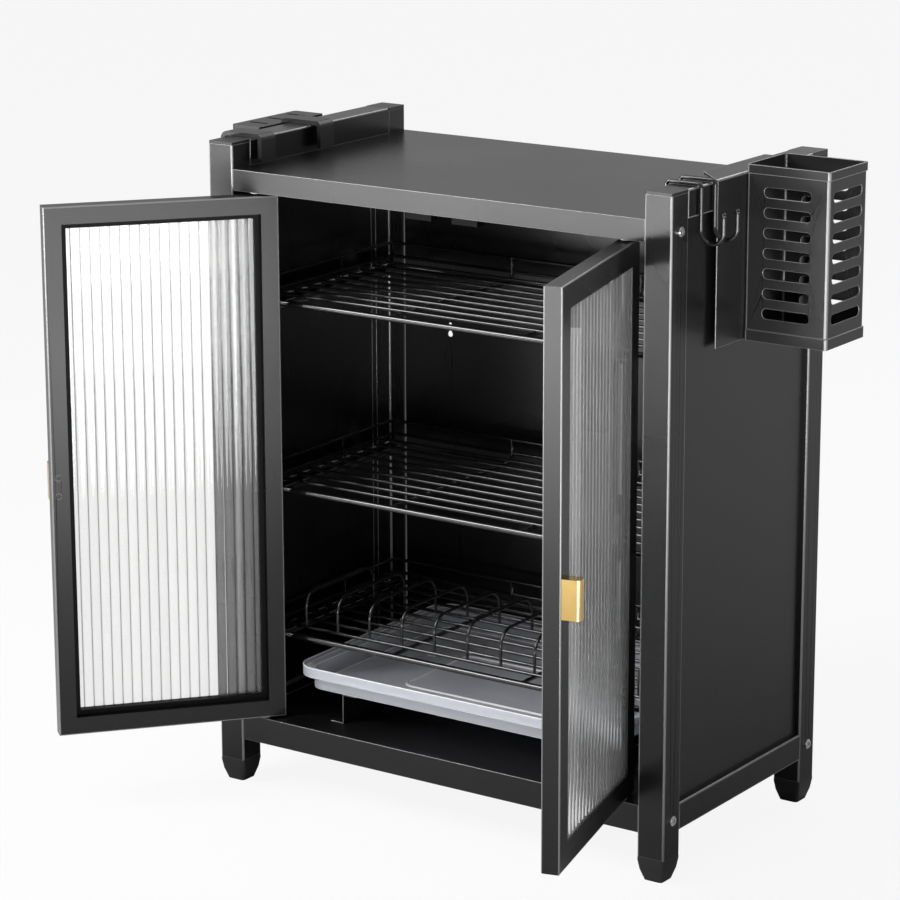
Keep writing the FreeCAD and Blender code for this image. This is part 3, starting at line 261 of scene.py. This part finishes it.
def reeded_pane(name, body, node, side, swing):
    low, high = PANE_X
    pitch = (high - low) / FLUTES
    profile = []
    shade = []
    rng = random.Random(TINT_SEED)
    for k in range(FLUTES):
        tint = rng.uniform(0.0, TINT_MOST)
        for u in FLUTE_MARKS:
            swell = FLUTE_RISE * math.sin(math.pi * u) ** FLUTE_POWER
            profile.append((low + (k + u) * pitch, FLUTE_ROOT + swell))
            edge = min(u, 1 - u)
            shade.append(min(1.0, tint + math.exp(-(edge / PAINTED_SHADE_WIDTH) ** 2)))
    profile.append((high, FLUTE_ROOT))
    shade.append(1.0)
    outline = [(high, PANE_FRONT), (low, PANE_FRONT)] + profile
    values = [0.0, 0.0] + shade
    turn = math.radians(swing)
    pivot_x = side * HINGE_X
    points = []
    for z in PANE_Z:
        for x, y in outline:
            dx, dy = side * x - pivot_x, y - HINGE_Y
            points.append((pivot_x + dx * math.cos(turn) - dy * math.sin(turn),
                           HINGE_Y + dx * math.sin(turn) + dy * math.cos(turn), z))
    total = len(outline)
    faces = [(k, (k + 1) % total, (k + 1) % total + total, k + total) for k in range(total)]
    faces.append(tuple(range(total)))
    faces.append(tuple(range(total, 2 * total)))
    mesh = bpy.data.meshes.new(name)
    mesh.from_pydata(points, [], faces)
    mesh.validate()
    work = bmesh.new()
    work.from_mesh(mesh)
    bmesh.ops.recalc_face_normals(work, faces=work.faces)
    work.to_mesh(mesh)
    work.free()
    field = mesh.attributes.new("painted_valley_shade", "FLOAT", "POINT")
    for k, number in enumerate(values * 2):
        field.data[k].value = number
    for face in mesh.polygons[:total]:
        face.use_smooth = True
    obj = bpy.data.objects.new(name, mesh)
    bpy.context.collection.objects.link(obj)
    split = obj.modifiers.new("crisp_edges", "EDGE_SPLIT")
    split.split_angle = math.radians(50)
    mesh.materials.append(pane_look)
    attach(obj, body)
    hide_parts(node)


pane_look = reeded_look()
reeded_pane("left_reeded_pane", "left_door", "left_door_glass", side=-1, swing=-130)
reeded_pane("right_reeded_pane", "right_door", "right_door_glass", side=1, swing=105)


# Floor, lights and camera

def background_rays(tree, glossy_share, mask=None):
    # 1 for camera and transmission rays, and a share of it for glossy rays
    path = tree.nodes.new("ShaderNodeLightPath")
    glossy = tree.nodes.new("ShaderNodeMath")
    glossy.operation = "MULTIPLY"
    glossy.inputs[1].default_value = glossy_share
    tree.links.new(path.outputs["Is Glossy Ray"], glossy.inputs[0])
    if mask:
        masked = tree.nodes.new("ShaderNodeMath")
        masked.operation = "MULTIPLY"
        tree.links.new(glossy.outputs[0], masked.inputs[0])
        tree.links.new(mask, masked.inputs[1])
        glossy = masked
    last = glossy.outputs[0]
    for ray in ("Is Camera Ray", "Is Transmission Ray"):
        either = tree.nodes.new("ShaderNodeMath")
        either.operation = "MAXIMUM"
        tree.links.new(last, either.inputs[0])
        tree.links.new(path.outputs[ray], either.inputs[1])
        last = either.outputs[0]
    return last


def pale_floor(share, glossy_share, near, far):
    # a floor that reads as white and still takes a shadow, most of it close to the object
    mat = bpy.data.materials.new("pale_floor")
    mat.use_nodes = True
    tree = mat.node_tree
    tree.nodes.clear()
    out = tree.nodes.new("ShaderNodeOutputMaterial")
    diffuse = tree.nodes.new("ShaderNodeBsdfDiffuse")
    diffuse.inputs["Color"].default_value = (0.9, 0.9, 0.9, 1)
    glow = tree.nodes.new("ShaderNodeEmission")
    glow.inputs["Color"].default_value = (1, 1, 1, 1)
    mix = tree.nodes.new("ShaderNodeMixShader")
    coords = tree.nodes.new("ShaderNodeTexCoord")
    distance = tree.nodes.new("ShaderNodeVectorMath")
    distance.operation = "LENGTH"
    spread = tree.nodes.new("ShaderNodeMapRange")
    spread.inputs["From Min"].default_value = near
    spread.inputs["From Max"].default_value = far
    scaled = tree.nodes.new("ShaderNodeMath")
    scaled.operation = "MULTIPLY"
    scaled.inputs[1].default_value = share
    tree.links.new(coords.outputs["Object"], distance.inputs[0])
    tree.links.new(distance.outputs["Value"], spread.inputs["Value"])
    seen = background_rays(tree, glossy_share, spread.outputs["Result"])
    tree.links.new(seen, scaled.inputs[0])
    tree.links.new(scaled.outputs[0], mix.inputs["Fac"])
    tree.links.new(diffuse.outputs[0], mix.inputs[1])
    tree.links.new(glow.outputs[0], mix.inputs[2])
    tree.links.new(mix.outputs[0], out.inputs["Surface"])
    return mat


FLOOR_SIZE = 60
bpy.ops.mesh.primitive_plane_add(size=FLOOR_SIZE, location=(0, 0, 0))
floor = bpy.context.object
floor.name = "floor"
floor.data.materials.append(pale_floor(share=0.9, glossy_share=0.6, near=0.5, far=3.0))

AMBIENT_STRENGTH = 0.22
WORLD_GLOSSY_SHARE = 0.35
world = bpy.data.worlds.new("studio")
bpy.context.scene.world = world
world.use_nodes = True
tree = world.node_tree
tree.nodes.clear()
out = tree.nodes.new("ShaderNodeOutputWorld")
ambient = tree.nodes.new("ShaderNodeBackground")
ambient.inputs["Color"].default_value = (1, 1, 1, 1)
ambient.inputs["Strength"].default_value = AMBIENT_STRENGTH
white = tree.nodes.new("ShaderNodeBackground")
white.inputs["Color"].default_value = (1, 1, 1, 1)
white.inputs["Strength"].default_value = 1.0
mix = tree.nodes.new("ShaderNodeMixShader")
tree.links.new(background_rays(tree, WORLD_GLOSSY_SHARE), mix.inputs["Fac"])
tree.links.new(ambient.outputs[0], mix.inputs[1])
tree.links.new(white.outputs[0], mix.inputs[2])
tree.links.new(mix.outputs[0], out.inputs["Surface"])


def softbox(name, location, target, width, height, power):
    lamp = bpy.data.lights.new(name, "AREA")
    lamp.shape = "RECTANGLE"
    lamp.size = width
    lamp.size_y = height
    lamp.energy = power
    obj = bpy.data.objects.new(name, lamp)
    bpy.context.collection.objects.link(obj)
    obj.location = location
    aim = Vector(target) - Vector(location)
    obj.rotation_euler = aim.to_track_quat("-Z", "Y").to_euler()
    return obj


# boxes just above the floor that face up and are seen as reflections in the coat
LOW_BOX_Z = 0.03
LOW_BOXES = (
    ("low_far_left_box", -1.4, -3.8, 4.2, 1.6, 420),
    ("low_near_left_box", -1.1, -2.6, 3.6, 0.8, 50),
    ("low_front_right_box", 2.1, -2.2, 3.0, 2.4, 180),
    ("low_right_box", 2.2, 0.0, 1.2, 2.0, 10),
)
for name, x, y, width, depth, power in LOW_BOXES:
    low_box = softbox(name, (x, y, LOW_BOX_Z), (x, y, 2.0), width, depth, power)
    low_box.rotation_euler = (0, math.pi, 0)
MIDDLE = (0, 0, 0.4)
softbox("top_box", (-0.6, -1.2, 2.4), MIDDLE, width=1.6, height=1.2, power=16)
softbox("key_box", (-1.4, -1.7, 1.8), MIDDLE, width=1.0, height=0.8, power=40)
softbox("back_top_box", (0, 2.4, 2.2), MIDDLE, width=2.0, height=0.8, power=14)

# the camera of the photograph, fitted to the corners of the cabinet
CAMERA_AIM = (-0.08915, 0, 0.3895)
CAMERA_DISTANCE = 3.8896
FOCAL_LENGTH = 136.26
yaw, pitch, roll = 0.605, 0.255, -0.003
back = Vector((math.sin(yaw) * math.cos(pitch), -math.cos(yaw) * math.cos(pitch), math.sin(pitch)))
right = (-back).cross(Vector((0, 0, 1))).normalized()
up = right.cross(-back)
right_rolled = math.cos(roll) * right + math.sin(roll) * up
up_rolled = -math.sin(roll) * right + math.cos(roll) * up
place = Vector(CAMERA_AIM) + back * CAMERA_DISTANCE
camera_data = bpy.data.cameras.new("camera")
camera_data.lens = FOCAL_LENGTH
camera_data.sensor_width = 36
camera_data.clip_start = 0.1
camera_data.clip_end = 100
camera = bpy.data.objects.new("camera", camera_data)
bpy.context.collection.objects.link(camera)
turn = Matrix((right_rolled, up_rolled, back)).transposed().to_4x4()
camera.matrix_world = Matrix.Translation(place) @ turn
bpy.context.scene.camera = camera
bpy.context.scene.view_settings.view_transform = "Standard"
